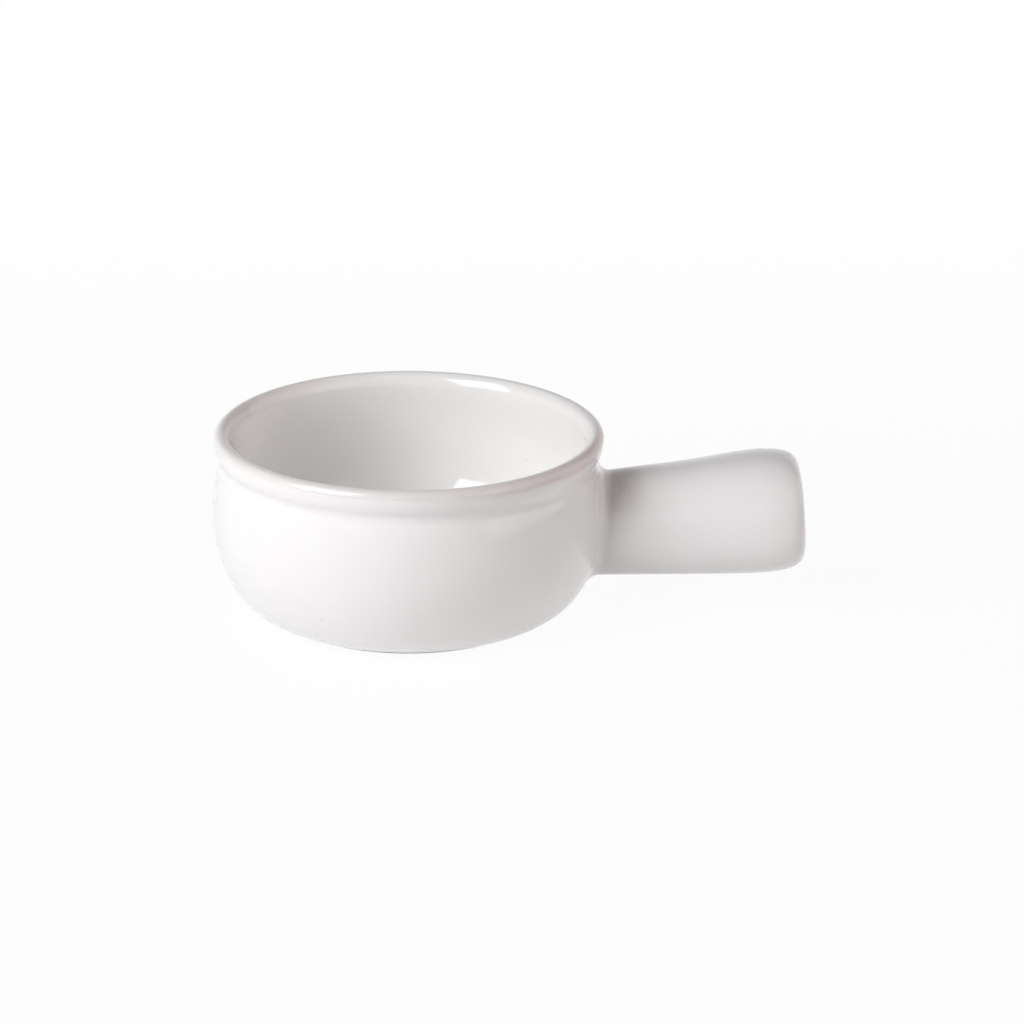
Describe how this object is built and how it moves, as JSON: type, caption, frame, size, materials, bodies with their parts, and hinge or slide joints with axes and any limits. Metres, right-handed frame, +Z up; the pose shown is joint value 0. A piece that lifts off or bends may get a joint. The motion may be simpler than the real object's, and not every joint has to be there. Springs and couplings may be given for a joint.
{
  "type": "soup crock",
  "caption": "Round-bellied glazed stoneware soup crock with a rolled rim, a low bare foot and a hollow stick handle set on one side.",
  "frame": {"origin": "centre of the foot ring's underside, on the bowl's axis, in the plane of the table", "axes": "+X along the handle, away from the bowl; +Z up along the bowl's axis; the crock is symmetric about the XZ plane"},
  "size_m": [0.1943, 0.1288, 0.061],
  "materials": {
    "clay": "fired stoneware body",
    "bare_clay": "bare turned and wiped stoneware",
    "slip": "fired joining slip",
    "liner_glaze": "gloss white liner glaze",
    "glaze": "gloss white glaze"
  },
  "bodies": {
    "root": {"bowl": "clay", "rolled_rim": "clay", "foot_ring": "bare_clay", "handle": "clay", "luting_slip": "slip", "glaze_inside": "liner_glaze", "glaze_outside": "glaze", "glaze_handle": "glaze", "glaze_base": "glaze"}
  },
  "joints": []
}
